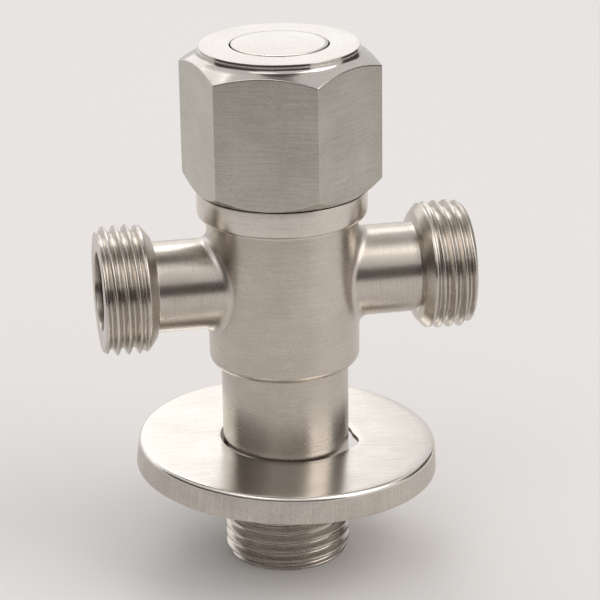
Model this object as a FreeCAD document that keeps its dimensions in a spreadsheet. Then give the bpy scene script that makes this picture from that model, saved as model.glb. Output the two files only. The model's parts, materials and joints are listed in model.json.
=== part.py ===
"""Three way valve: an angle valve with one inlet below, two opposed outlets and a quarter-turn handle.

Millimetres. The origin is the centre of the inlet's end face, +Z runs up the barrel to the handle and
+X runs along the right-hand outlet. The handle is in the closed position.
"""

import FreeCAD, Part
import math
import os

import Sketcher

Vector = FreeCAD.Vector
Rotation = FreeCAD.Rotation

doc = FreeCAD.newDocument("three_way_valve")
sheet = doc.addObject("Spreadsheet::Sheet", "Sizes")

# Driving dimensions, one group per assembly
sizes = {
    # G 1/2 pipe thread, shown as a plain cylinder of its major diameter
    "thread_diameter": 20.955,
    "thread_chamfer": 1.1,
    "inlet_thread_length": 14.0,
    "outlet_thread_length": 9.0,
    # valve body, turned and welded from stainless steel
    "neck_diameter": 20.84,
    "relief_depth": 0.7,
    "relief_width": 1.2,
    "barrel_bottom": 34.4,
    "barrel_diameter": 24.6,
    "collar_bottom": 59.5,
    "collar_top": 63.9,
    "collar_diameter": 27.5,
    "edge_round": 0.9,
    "inlet_bore_diameter": 14.0,
    "seat_height": 38.0,
    "chamber_diameter": 18.2,
    "housing_thread_bottom": 55.5,
    "housing_thread_diameter": 20.0,
    # two opposed outlets
    "outlet_height": 48.45,
    "outlet_reach": 30.1,
    "stub_diameter": 14.7,
    "outlet_bore_diameter": 12.8,
    "shoulder_length": 2.4,
    "shoulder_diameter": 18.6,
    "root_fillet": 1.4,
    # loose wall flange, pressed from sheet
    "flange_height": 4.46,
    "flange_top_diameter": 49.2,
    "flange_foot_diameter": 50.0,
    "flange_sheet": 0.8,
    "flange_hole_diameter": 22.9,
    "flange_rest_height": 15.8,
    "flange_lean": 2.3,
    "tongue_tip_diameter": 21.5,
    "tongue_drop": 2.0,
    "tongue_angle": 30.0,
    "tongue_count": 3.0,
    "tongue_start": -65.0,
    "notch_diameter": 24.0,
    "notch_angle": 15.0,
    # cartridge housing, brass
    "running_gap": 0.05,
    "cage_bottom": 38.9,
    "cage_diameter": 18.0,
    "cage_bore_diameter": 16.6,
    "chamber_top": 53.2,
    "window_bottom": 43.9,
    "window_width": 13.0,
    "housing_flange_diameter": 22.8,
    "housing_flange_top": 65.4,
    "housing_hex": 19.0,
    "housing_top": 69.2,
    "crown_height": 1.4,
    "crown_outer_diameter": 16.8,
    "crown_inner_diameter": 13.6,
    "housing_groove_bottom": 61.9,
    "housing_groove_diameter": 16.6,
    # ceramic discs and their seal
    "seal_diameter": 16.4,
    "seal_bore_diameter": 13.0,
    "seal_top": 40.6,
    "support_bore_diameter": 12.0,
    "disc_split": 43.4,
    "fixed_disc_diameter": 16.4,
    "moving_disc_diameter": 15.6,
    "moving_disc_top": 46.2,
    "port_outer_diameter": 12.4,
    "port_inner_diameter": 4.8,
    "port_angle": 76.0,
    # stem, brass, with its seals, stop and clip
    "stem_diameter": 9.0,
    "foot_diameter": 14.4,
    "foot_top": 48.0,
    "drive_key_depth": 1.2,
    "drive_key_width": 3.0,
    "bearing_collar_diameter": 12.6,
    "bearing_collar_bottom": 50.6,
    "thrust_washer_thickness": 0.8,
    "stem_ring_section": 1.14,
    "stem_groove_width": 1.5,
    "lower_groove_height": 56.0,
    "upper_groove_height": 60.0,
    "quarter_turn": 90.0,
    "stop_thickness": 1.1,
    "stop_diameter": 13.2,
    "stop_tab_reach": 8.2,
    "stop_tab_angle": 24.0,
    "clip_bottom": 70.45,
    "clip_thickness": 0.7,
    "clip_diameter": 12.4,
    "clip_groove_diameter": 7.4,
    "clip_gap_angle": 70.0,
    "spline_bottom": 71.7,
    "spline_diameter": 8.0,
    "spline_root_diameter": 7.2,
    "spline_teeth": 20.0,
    "stem_top": 80.0,
    "tapped_hole_bottom": 68.0,
    # hexagonal handle and what is inside it
    "handle_flats": 28.12,
    "handle_angle": -19.8,
    "handle_bottom": 64.2,
    "handle_foot_diameter": 28.0,
    "lower_slope": 38.0,
    "upper_slope": 30.0,
    "upper_vertex_height": 84.28,
    "boss_diameter": 25.9,
    "boss_top": 87.4,
    "cavity_diameter": 24.4,
    "cavity_top": 72.0,
    "insert_diameter": 13.0,
    "insert_top": 82.0,
    "insert_web": 1.6,
    "recess_diameter": 16.3,
    "recess_bottom": 83.2,
    "screw_diameter": 4.0,
    "screw_end": 69.5,
    "screw_head_diameter": 7.2,
    "screw_head_height": 2.4,
    "hex_key": 2.5,
    "washer_diameter": 7.0,
    "washer_thickness": 0.7,
    "button_diameter": 16.0,
    "button_top": 87.65,
    "button_skirt_bottom": 84.0,
    "button_wall": 1.1,
    "button_ring_section": 0.9,
    "button_groove_height": 85.1,
}
for row, (alias, value) in enumerate(sizes.items(), start=1):
    sheet.set(f"A{row}", alias)
    sheet.set(f"B{row}", str(value))
    sheet.setAlias(f"B{row}", alias)
doc.recompute()

SUBPARTS = []
gauge = doc.addObject("Part::Vertex", "gauge")


def size(expression):
    """The value of an expression in the sheet's names, read off a point that it moves."""
    gauge.setExpression("X", expression)
    gauge.recompute()
    return gauge.X.Value


def bind(item, **expressions):
    """Tie an object's properties to the sheet."""
    for prop, expression in expressions.items():
        item.setExpression(prop, expression)
    return item


def lift(item, height):
    """Place an object at a height bound to the sheet."""
    item.setExpression(".Placement.Base.z", height)
    return item


def add(kind, name):
    return doc.addObject("Part::" + kind, name)


def cylinder(name, diameter, bottom, top, angle=None, turn=None):
    """Upright cylinder between two heights, or a sector of one that starts at the angle turn."""
    item = add("Cylinder", name)
    bind(item, Radius=f"({diameter}) / 2", Height=f"({top}) - ({bottom})")
    if angle:
        bind(item, Angle=angle)
    lift(item, bottom)
    if turn:
        bind_turn(item, turn)
    return item


def bind_turn(item, turn):
    """Turn an object about its upright axis by an angle bound to the sheet."""
    item.Placement.Rotation = Rotation(Vector(0, 0, 1), 1.0)
    item.setExpression(".Placement.Rotation.Angle", turn)


def cut(name, base, tools):
    tool = tools[0] if len(tools) == 1 else fuse(name + "_tools", tools)
    item = add("Cut", name)
    item.Base = base
    item.Tool = tool
    return item


def fuse(name, shapes):
    item = add("MultiFuse", name)
    item.Shapes = shapes
    return item


def common(name, shapes):
    item = add("MultiCommon", name)
    item.Shapes = shapes
    return item


def tube(name, outer, inner, bottom, top):
    """Upright ring between two heights."""
    return cut(
        name,
        cylinder(name + "_outside", outer, bottom, top),
        [cylinder(name + "_inside", inner, f"{bottom} - 1", f"{top} + 1")],
    )


def prism(name, flats, bottom, top, turn="0"):
    """Upright hexagonal prism measured across its flats."""
    item = add("Prism", name)
    item.Polygon = 6
    bind(item, Circumradius=f"({flats}) / 2 / cos(30)", Height=f"({top}) - ({bottom})")
    lift(item, bottom)
    bind_turn(item, turn)
    return item


def ring(name, inner, section, height):
    """O-ring whose inside touches a groove of diameter inner."""
    item = add("Torus", name)
    bind(item, Radius1=f"(({inner}) + ({section})) / 2", Radius2=f"({section}) / 2")
    return lift(item, height)


def subpart(item, label):
    item.Label = label
    SUBPARTS.append(item)
    return item


def origin_plane(body, role):
    return next(f for f in body.Origin.OriginFeatures if f.Role == role)


def half_outline(body, name, corners, height="0"):
    """Closed outline in the XZ plane; each corner is a pair of expressions, across and up."""
    sketch = body.newObject("Sketcher::SketchObject", name)
    sketch.AttachmentSupport = [(origin_plane(body, "XZ_Plane"), "")]
    sketch.MapMode = "FlatFace"
    sketch.setExpression(".AttachmentOffset.Base.y", height)
    points = [Vector(size(across), size(up), 0) for across, up in corners]
    for start, end in zip(points, points[1:] + points[:1]):
        sketch.addGeometry(Part.LineSegment(start, end), False)
    for index, (across, up) in enumerate(corners):
        previous = (index - 1) % len(corners)
        sketch.addConstraint(Sketcher.Constraint("Coincident", previous, 2, index, 1))
        for kind, axis, expression in (("DistanceX", -2, across), ("DistanceY", -1, up)):
            value = size(expression)
            if value == 0:
                sketch.addConstraint(Sketcher.Constraint("PointOnObject", index, 1, axis))
            else:
                fixed = sketch.addConstraint(Sketcher.Constraint(kind, -1, 1, index, 1, value))
                sketch.setExpression(f"Constraints[{fixed}]", expression)
    return sketch


def turned(body, kind, name, sketch, axis):
    """Turn an outline about one of its own axes, adding or removing metal."""
    feature = body.newObject("PartDesign::" + kind, name)
    feature.Profile = sketch
    feature.ReferenceAxis = (sketch, [axis])
    feature.Angle = 360
    doc.recompute()
    return feature


def rounded(body, name, base, radius, wanted):
    """Round the edges of a feature that the test wanted accepts."""
    names = [f"Edge{n}" for n, edge in enumerate(base.Shape.Edges, start=1) if wanted(edge)]
    feature = body.newObject("PartDesign::Fillet", name)
    feature.Base = (base, names)
    feature.setExpression("Radius", radius)
    doc.recompute()
    return feature


# Valve body: neck, barrel and collar in one piece with the two outlet stubs
valve = doc.addObject("PartDesign::Body", "valve_body")
thread = "Sizes.thread_diameter / 2"
relief_foot = "Sizes.inlet_thread_length"
relief_head = "Sizes.inlet_thread_length + Sizes.relief_width"
barrel_outline = [
    ("0", "0"),
    (f"{thread} - Sizes.thread_chamfer", "0"),
    (thread, "Sizes.thread_chamfer"),
    (thread, relief_foot),
    (f"{thread} - Sizes.relief_depth", relief_foot),
    (f"{thread} - Sizes.relief_depth", relief_head),
    ("Sizes.neck_diameter / 2", relief_head),
    ("Sizes.neck_diameter / 2", "Sizes.barrel_bottom"),
    ("Sizes.barrel_diameter / 2", "Sizes.barrel_bottom"),
    ("Sizes.barrel_diameter / 2", "Sizes.collar_bottom"),
    ("Sizes.collar_diameter / 2", "Sizes.collar_bottom"),
    ("Sizes.collar_diameter / 2", "Sizes.collar_top"),
    ("0", "Sizes.collar_top"),
]
turned(valve, "Revolution", "barrel", half_outline(valve, "barrel_outline", barrel_outline), "V_Axis")

right_side = [
    ("Sizes.stub_diameter / 2", "Sizes.outlet_reach - Sizes.outlet_thread_length"),
    ("Sizes.shoulder_diameter / 2", "Sizes.outlet_reach - Sizes.outlet_thread_length"),
    (thread, "Sizes.outlet_reach - Sizes.outlet_thread_length + Sizes.shoulder_length"),
    (thread, "Sizes.outlet_reach - Sizes.thread_chamfer"),
    (f"{thread} - Sizes.thread_chamfer", "Sizes.outlet_reach"),
    ("0", "Sizes.outlet_reach"),
]
outlet_outline = [(along, radius) for radius, along in right_side]
outlet_outline += [(f"-({along})", radius) for radius, along in reversed(right_side)]
outlets = turned(
    valve,
    "Revolution",
    "outlets",
    half_outline(valve, "outlet_outline", outlet_outline, "Sizes.outlet_height"),
    "H_Axis",
)


def is_stub_root(edge):
    """The edges where a round stub meets the round barrel."""
    point = edge.valueAt((edge.FirstParameter + edge.LastParameter) / 2)
    from_barrel = abs(math.hypot(point.x, point.y) - size("Sizes.barrel_diameter / 2"))
    from_stub = abs(
        math.hypot(point.y, point.z - size("Sizes.outlet_height")) - size("Sizes.stub_diameter / 2")
    )
    return from_barrel < 0.01 and from_stub < 0.01


def is_step_edge(edge):
    """The outer circles of the barrel's foot and the collar's foot."""
    if edge.Curve.TypeId != "Part::GeomCircle" or abs(edge.Curve.Axis.z) < 0.9:
        return False
    steps = (
        (size("Sizes.barrel_diameter / 2"), size("Sizes.barrel_bottom")),
        (size("Sizes.collar_diameter / 2"), size("Sizes.collar_bottom")),
    )
    return any(
        abs(edge.Curve.Radius - radius) < 0.01 and abs(edge.Curve.Center.z - height) < 0.01
        for radius, height in steps
    )


stub_roots = rounded(valve, "stub_roots", outlets, "Sizes.root_fillet", is_stub_root)
rounded(valve, "step_edges", stub_roots, "Sizes.edge_round", is_step_edge)

waterway_outline = [
    ("0", "-1"),
    ("Sizes.inlet_bore_diameter / 2", "-1"),
    ("Sizes.inlet_bore_diameter / 2", "Sizes.seat_height"),
    ("Sizes.chamber_diameter / 2", "Sizes.seat_height"),
    ("Sizes.chamber_diameter / 2", "Sizes.housing_thread_bottom"),
    ("Sizes.housing_thread_diameter / 2 + Sizes.running_gap", "Sizes.housing_thread_bottom"),
    ("Sizes.housing_thread_diameter / 2 + Sizes.running_gap", "Sizes.collar_top + 1"),
    ("0", "Sizes.collar_top + 1"),
]
turned(valve, "Groove", "waterway", half_outline(valve, "waterway_outline", waterway_outline), "V_Axis")
outlet_bores_outline = [
    ("-Sizes.outlet_reach - 1", "0"),
    ("-Sizes.outlet_reach - 1", "Sizes.outlet_bore_diameter / 2"),
    ("Sizes.outlet_reach + 1", "Sizes.outlet_bore_diameter / 2"),
    ("Sizes.outlet_reach + 1", "0"),
]
turned(
    valve,
    "Groove",
    "outlet_bores",
    half_outline(valve, "outlet_bores_outline", outlet_bores_outline, "Sizes.outlet_height"),
    "H_Axis",
)
subpart(valve, "valve_body")

# Wall flange: a pressed dish with three grip tongues round its hole
flange = doc.addObject("PartDesign::Body", "dish")
dish_outline = [
    ("Sizes.flange_hole_diameter / 2", "Sizes.flange_height - Sizes.flange_sheet"),
    ("Sizes.flange_top_diameter / 2 - Sizes.flange_sheet", "Sizes.flange_height - Sizes.flange_sheet"),
    ("Sizes.flange_foot_diameter / 2 - Sizes.flange_sheet", "0"),
    ("Sizes.flange_foot_diameter / 2", "0"),
    ("Sizes.flange_top_diameter / 2", "Sizes.flange_height"),
    ("Sizes.flange_hole_diameter / 2", "Sizes.flange_height"),
]
dish_sketch = half_outline(flange, "dish_outline", dish_outline)
dish = turned(flange, "Revolution", "dish_shell", dish_sketch, "V_Axis")


def is_dish_rim(edge):
    if edge.Curve.TypeId != "Part::GeomCircle":
        return False
    at_rim = abs(edge.Curve.Radius - size("Sizes.flange_top_diameter / 2")) < 0.01
    return at_rim and abs(edge.Curve.Center.z - size("Sizes.flange_height")) < 0.01


rounded(flange, "dish_rim", dish, "Sizes.flange_sheet * 0.8", is_dish_rim)
tongues = []
notches = []
for number in range(int(size("Sizes.tongue_count"))):
    start = f"Sizes.tongue_start + {number} * 360 / Sizes.tongue_count"
    outer = add("Cone", f"tongue_outside_{number}")
    inner = add("Cone", f"tongue_inside_{number}")
    for cone, shrink, ends in ((outer, "0", "0"), (inner, "Sizes.flange_sheet", "1")):
        bind(
            cone,
            Radius1=f"Sizes.tongue_tip_diameter / 2 + Sizes.flange_sheet - {shrink}",
            Radius2=f"Sizes.flange_hole_diameter / 2 + Sizes.flange_sheet - {shrink}",
            Height="Sizes.flange_sheet + Sizes.tongue_drop",
        )
        cone.setExpression("Angle", "Sizes.tongue_angle" if cone is outer else "360")
        lift(cone, "Sizes.flange_height - Sizes.flange_sheet - Sizes.tongue_drop")
        bind_turn(cone, start)
    tongues.append(cut(f"tongue_{number}", outer, [inner]))
    for side, notch_start in (
        ("before", f"{start} - Sizes.notch_angle"),
        ("after", f"{start} + Sizes.tongue_angle"),
    ):
        notches.append(
            cylinder(
                f"notch_{side}_{number}",
                "Sizes.notch_diameter",
                "Sizes.flange_height - 2 * Sizes.flange_sheet",
                "Sizes.flange_height + 1",
                "Sizes.notch_angle",
                notch_start,
            )
        )
flange_piece = fuse("wall_flange", [cut("notched_dish", flange, notches)] + tongues)
flange_piece.Placement.Rotation = Rotation(Vector(0, 1, 0), 1.0)
flange_piece.setExpression(".Placement.Rotation.Angle", "Sizes.flange_lean")
subpart(lift(flange_piece, "Sizes.flange_rest_height"), "wall_flange")

# Cartridge housing: a cage with two windows below, a threaded gland, a flange, a hexagon and a crown
cage = cylinder("cage", "Sizes.cage_diameter", "Sizes.cage_bottom", "Sizes.housing_thread_bottom + 0.5")
gland = cylinder(
    "gland", "Sizes.housing_thread_diameter", "Sizes.housing_thread_bottom + 0.3", "Sizes.housing_flange_top"
)
housing_flange = cylinder(
    "housing_flange", "Sizes.housing_flange_diameter", "Sizes.collar_top", "Sizes.housing_flange_top"
)
housing_hexagon = prism(
    "housing_hexagon", "Sizes.housing_hex", "Sizes.housing_flange_top - 0.5", "Sizes.housing_top"
)
crown_arc = "360 - Sizes.quarter_turn - Sizes.stop_tab_angle - 2"
crown_start = "Sizes.quarter_turn + Sizes.stop_tab_angle / 2 + 1"
crown = cut(
    "crown",
    cylinder(
        "crown_outside",
        "Sizes.crown_outer_diameter",
        "Sizes.housing_top - 0.5",
        "Sizes.housing_top + Sizes.crown_height",
        crown_arc,
        crown_start,
    ),
    [
        cylinder(
            "crown_inside",
            "Sizes.crown_inner_diameter",
            "Sizes.housing_top - 1",
            "Sizes.housing_top + Sizes.crown_height + 1",
        )
    ],
)
stem_bore = "Sizes.stem_diameter + 2 * Sizes.running_gap"
windows = add("Box", "windows")
bind(
    windows,
    Length="Sizes.cage_diameter + 4",
    Width="Sizes.window_width",
    Height="Sizes.chamber_top - Sizes.window_bottom",
)
windows.setExpression(".Placement.Base.x", "-Sizes.cage_diameter / 2 - 2")
windows.setExpression(".Placement.Base.y", "-Sizes.window_width / 2")
lift(windows, "Sizes.window_bottom")
ring_groove = tube(
    "housing_ring_groove",
    "Sizes.housing_flange_diameter + 2",
    "Sizes.housing_groove_diameter",
    "Sizes.housing_groove_bottom",
    "Sizes.collar_top",
)
housing = cut(
    "cartridge_housing",
    fuse("housing_blank", [cage, gland, housing_flange, housing_hexagon, crown]),
    [
        cylinder("cage_bore", "Sizes.cage_bore_diameter", "Sizes.cage_bottom - 1", "Sizes.chamber_top"),
        cylinder("stem_bore", stem_bore, "Sizes.chamber_top - 1", "Sizes.housing_top + 3"),
        windows,
        ring_groove,
    ],
)
subpart(housing, "cartridge_housing")
subpart(
    ring(
        "housing_oring",
        "Sizes.housing_groove_diameter",
        "(Sizes.housing_thread_diameter - Sizes.housing_groove_diameter) / 2",
        "(Sizes.housing_groove_bottom + Sizes.collar_top) / 2",
    ),
    "housing_oring",
)

# Seal and its support ring, on the seat below the discs
seal = tube(
    "disc_seal", "Sizes.seal_diameter", "Sizes.seal_bore_diameter", "Sizes.seat_height", "Sizes.seal_top"
)
subpart(seal, "disc_seal")
support = tube(
    "seal_support_ring",
    "Sizes.seal_bore_diameter",
    "Sizes.support_bore_diameter",
    "Sizes.seat_height + 0.3",
    "Sizes.seal_top - 0.3",
)
subpart(support, "seal_support_ring")


def port(name, outer, bottom, top, turn):
    """One sector-shaped port centred on the angle turn."""
    first = f"{turn} - Sizes.port_angle / 2"
    sector = cylinder(name + "_sector", outer, bottom, top, "Sizes.port_angle", first)
    core = cylinder(name + "_core", "Sizes.port_inner_diameter", f"{bottom} - 1", f"{top} + 1")
    return cut(name, sector, [core])


# Ceramic discs: the fixed one has two ports, the moving one is a bow tie that covers them when closed
fixed_blank = cylinder("fixed_blank", "Sizes.fixed_disc_diameter", "Sizes.seal_top", "Sizes.disc_split")
fixed_ports = [
    port(
        f"fixed_port_{side}",
        "Sizes.port_outer_diameter",
        "Sizes.seal_top - 1",
        "Sizes.disc_split + 1",
        side,
    )
    for side in ("0", "180")
]
subpart(cut("fixed_disc", fixed_blank, fixed_ports), "fixed_disc")
moving_bottom = "Sizes.disc_split + Sizes.running_gap"
moving_blank = cylinder("moving_blank", "Sizes.moving_disc_diameter", moving_bottom, "Sizes.moving_disc_top")
moving_ports = [
    port(
        f"moving_port_{side}",
        "Sizes.moving_disc_diameter + 2",
        "Sizes.disc_split - 1",
        "Sizes.moving_disc_top + 1",
        side,
    )
    for side in ("90", "270")
]


def drive_key(name, width):
    """Bar across the stem's foot that turns the moving disc."""
    bar = add("Box", name)
    bind(
        bar,
        Length="Sizes.foot_diameter",
        Width=width,
        Height="Sizes.drive_key_depth + 0.5",
    )
    bar.setExpression(".Placement.Base.x", "-Sizes.foot_diameter / 2")
    bar.setExpression(".Placement.Base.y", f"-({width}) / 2")
    lift(bar, "Sizes.moving_disc_top - Sizes.drive_key_depth")
    within = cylinder(
        name + "_within", "Sizes.foot_diameter", "Sizes.disc_split", "Sizes.moving_disc_top + 0.5"
    )
    return common(name + "_round_ended", [bar, within])


key_slot = drive_key("key_slot", "Sizes.drive_key_width + 2 * Sizes.running_gap")
subpart(cut("moving_disc", moving_blank, moving_ports + [key_slot]), "moving_disc")

# Stem: foot with its drive key, bearing collar, two ring grooves, clip groove and spline
ring_floor = "Sizes.stem_diameter + 2 * Sizes.running_gap - 2 * Sizes.stem_ring_section - 0.1"
teeth = round(size("Sizes.spline_teeth"))
radii = (size("Sizes.spline_root_diameter / 2"), size("Sizes.spline_diameter / 2"))
spline_bottom = size("Sizes.spline_bottom")
spline_points = []
for step in range(2 * teeth + 1):
    angle = math.pi * step / teeth
    radius = radii[step % 2]
    spline_points.append(Vector(radius * math.cos(angle), radius * math.sin(angle), spline_bottom))
spline = Part.makePolygon(spline_points)
spline_bar = add("Feature", "spline_bar")
spline_bar.Shape = Part.Face(spline).extrude(Vector(0, 0, size("Sizes.stem_top - Sizes.spline_bottom")))
stem_solids = [
    cylinder("stem_foot", "Sizes.foot_diameter", "Sizes.moving_disc_top", "Sizes.foot_top"),
    drive_key("drive_bar", "Sizes.drive_key_width"),
    cylinder("stem_shaft", "Sizes.stem_diameter", "Sizes.foot_top - 0.5", "Sizes.spline_bottom"),
    cylinder(
        "bearing_collar",
        "Sizes.bearing_collar_diameter",
        "Sizes.bearing_collar_bottom",
        "Sizes.chamber_top - Sizes.thrust_washer_thickness - Sizes.running_gap",
    ),
    spline_bar,
]
stem_cuts = [
    tube(
        f"{place}_ring_groove",
        "Sizes.stem_diameter + 2",
        ring_floor,
        f"Sizes.{place}_groove_height - Sizes.stem_groove_width / 2",
        f"Sizes.{place}_groove_height + Sizes.stem_groove_width / 2",
    )
    for place in ("lower", "upper")
]
stem_cuts.append(
    tube(
        "clip_groove",
        "Sizes.stem_diameter + 2",
        "Sizes.clip_groove_diameter",
        "Sizes.clip_bottom - Sizes.running_gap",
        "Sizes.clip_bottom + Sizes.clip_thickness + Sizes.running_gap",
    )
)
stem_cuts.append(
    cylinder("tapped_hole", "Sizes.screw_diameter", "Sizes.tapped_hole_bottom", "Sizes.stem_top + 1")
)
subpart(cut("stem", fuse("stem_blank", stem_solids), stem_cuts), "stem")
for place in ("lower", "upper"):
    label = f"stem_oring_{place}"
    subpart(ring(label, ring_floor, "Sizes.stem_ring_section", f"Sizes.{place}_groove_height"), label)
thrust_washer = tube(
    "thrust_washer",
    "Sizes.bearing_collar_diameter",
    "Sizes.stem_diameter + 2 * Sizes.running_gap",
    "Sizes.chamber_top - Sizes.thrust_washer_thickness - Sizes.running_gap",
    "Sizes.chamber_top - Sizes.running_gap",
)
subpart(thrust_washer, "thrust_washer")

# Stop ring: its tab runs between the ends of the crown and sets the quarter turn
stop_bottom = "Sizes.housing_top + Sizes.running_gap"
stop_top = "Sizes.housing_top + Sizes.running_gap + Sizes.stop_thickness"
stop_tab = cylinder(
    "stop_tab",
    "2 * Sizes.stop_tab_reach",
    stop_bottom,
    stop_top,
    "Sizes.stop_tab_angle",
    "-Sizes.stop_tab_angle / 2",
)
stop_disc = cylinder("stop_disc", "Sizes.stop_diameter", stop_bottom, stop_top)
stop_bore = cylinder("stop_bore", "Sizes.stem_diameter", "Sizes.housing_top - 1", "Sizes.clip_bottom + 1")
subpart(cut("stop_ring", fuse("stop_blank", [stop_disc, stop_tab]), [stop_bore]), "stop_ring")
clip_top = "Sizes.clip_bottom + Sizes.clip_thickness"
clip_mouth = cylinder(
    "clip_mouth",
    "Sizes.clip_diameter + 2",
    "Sizes.clip_bottom - 1",
    "Sizes.clip_bottom + Sizes.clip_thickness + 1",
    "Sizes.clip_gap_angle",
    "90 - Sizes.clip_gap_angle / 2",
)
clip = tube("clip_hoop", "Sizes.clip_diameter", "Sizes.clip_groove_diameter", "Sizes.clip_bottom", clip_top)
subpart(cut("stem_clip", clip, [clip_mouth]), "stem_clip")

# Handle: a hexagonal bar, coned at both ends, with a round boss, a cavity below and a recess above
profile = doc.addObject("PartDesign::Body", "handle_profile")
vertex = "Sizes.handle_flats / 2 / cos(30)"
beyond = "1"
boss_radius = "Sizes.boss_diameter / 2"
lower_rise = f"({vertex} + {beyond} - Sizes.handle_foot_diameter / 2) * tan(Sizes.lower_slope)"
handle_outline = [
    ("Sizes.cavity_diameter / 2", "Sizes.handle_bottom"),
    ("Sizes.handle_foot_diameter / 2", "Sizes.handle_bottom"),
    (f"{vertex} + {beyond}", f"Sizes.handle_bottom + {lower_rise}"),
    (f"{vertex} + {beyond}", f"Sizes.upper_vertex_height - {beyond} * tan(Sizes.upper_slope)"),
    (boss_radius, f"Sizes.upper_vertex_height + ({vertex} - {boss_radius}) * tan(Sizes.upper_slope)"),
    (boss_radius, "Sizes.boss_top - 0.4"),
    (f"{boss_radius} - 0.4", "Sizes.boss_top"),
    ("Sizes.recess_diameter / 2", "Sizes.boss_top"),
    ("Sizes.recess_diameter / 2", "Sizes.recess_bottom"),
    ("Sizes.screw_diameter / 2 + 0.2", "Sizes.recess_bottom"),
    ("Sizes.screw_diameter / 2 + 0.2", "Sizes.insert_top"),
    ("Sizes.insert_diameter / 2", "Sizes.insert_top"),
    ("Sizes.insert_diameter / 2", "Sizes.cavity_top"),
    ("Sizes.cavity_diameter / 2", "Sizes.cavity_top"),
]
handle_sketch = half_outline(profile, "handle_outline", handle_outline)
turned(profile, "Revolution", "handle_turned", handle_sketch, "V_Axis")
hexagon = prism(
    "handle_hexagon",
    "Sizes.handle_flats",
    "Sizes.handle_bottom - 1",
    "Sizes.boss_top + 1",
    "Sizes.handle_angle",
)
subpart(common("handle_shell", [profile, hexagon]), "handle_shell")

# Insert: pressed into the handle, splined onto the stem, with a web under the screw
insert_blank = cylinder("insert_blank", "Sizes.insert_diameter", "Sizes.cavity_top", "Sizes.insert_top")
insert_cuts = [
    cylinder(
        "insert_bore",
        "Sizes.spline_diameter + 2 * Sizes.running_gap",
        "Sizes.cavity_top - 1",
        "Sizes.insert_top - Sizes.insert_web",
    ),
    cylinder("insert_hole", "Sizes.screw_diameter + 0.4", "Sizes.stem_top", "Sizes.insert_top + 1"),
]
subpart(cut("spline_insert", insert_blank, insert_cuts), "spline_insert")

# Screw and washer that hold the handle down on the stem
head_bottom = "Sizes.recess_bottom + Sizes.washer_thickness"
screw_blank = fuse(
    "screw_blank",
    [
        cylinder(
            "screw_shank",
            "Sizes.screw_diameter - 2 * Sizes.running_gap",
            "Sizes.screw_end",
            f"{head_bottom} + 0.5",
        ),
        cylinder(
            "screw_head",
            "Sizes.screw_head_diameter",
            head_bottom,
            f"{head_bottom} + Sizes.screw_head_height",
        ),
    ],
)
key_socket = prism("key_socket", "Sizes.hex_key", f"{head_bottom} + 1", f"{head_bottom} + 4")
subpart(cut("handle_screw", screw_blank, [key_socket]), "handle_screw")
washer = tube(
    "washer_hoop", "Sizes.washer_diameter", "Sizes.screw_diameter + 0.2", "Sizes.recess_bottom", head_bottom
)
washer_split = add("Box", "washer_split")
bind(washer_split, Length="Sizes.washer_diameter", Width="0.8", Height="3")
washer_split.setExpression(".Placement.Base.y", "-0.4")
lift(washer_split, "Sizes.recess_bottom - 1")
subpart(cut("spring_washer", washer, [washer_split]), "spring_washer")

# Button: a plain cap that snaps into the recess and hides the screw
cap = cylinder("cap", "Sizes.button_diameter", "Sizes.button_skirt_bottom", "Sizes.button_top")
cap_hollow = cylinder(
    "cap_hollow",
    "Sizes.button_diameter - 2 * Sizes.button_wall - 1",
    "Sizes.button_skirt_bottom - 1",
    "Sizes.button_top - Sizes.button_wall",
)
button_floor = "Sizes.recess_diameter - 2 * Sizes.button_ring_section - 0.1"
cap_groove = tube(
    "cap_groove",
    "Sizes.button_diameter + 2",
    button_floor,
    "Sizes.button_groove_height - Sizes.button_ring_section * 0.6",
    "Sizes.button_groove_height + Sizes.button_ring_section * 0.6",
)
subpart(cut("handle_button", cap, [cap_hollow, cap_groove]), "handle_button")
button_ring = ring(
    "button_oring", button_floor, "Sizes.button_ring_section", "Sizes.button_groove_height"
)
subpart(button_ring, "button_oring")

doc.recompute()
broken = [item.Label for item in doc.Objects if {"Invalid", "Error"} & set(item.State)]
broken += [item.Label for item in SUBPARTS if item.Shape.isNull() or not item.Shape.isValid()]
if broken:
    raise RuntimeError("failed: " + ", ".join(broken))

os.makedirs("parts", exist_ok=True)
for item in SUBPARTS:
    item.Shape.exportStep(f"parts/{item.Label}.step")
    print(f"{item.Label:20s} {len(item.Shape.Solids)} solid(s) {item.Shape.Volume:9.1f} mm3")
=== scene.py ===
"""Three way angle valve in stainless steel: its looks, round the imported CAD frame. Metres, +Z up."""
import json
import math

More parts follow.
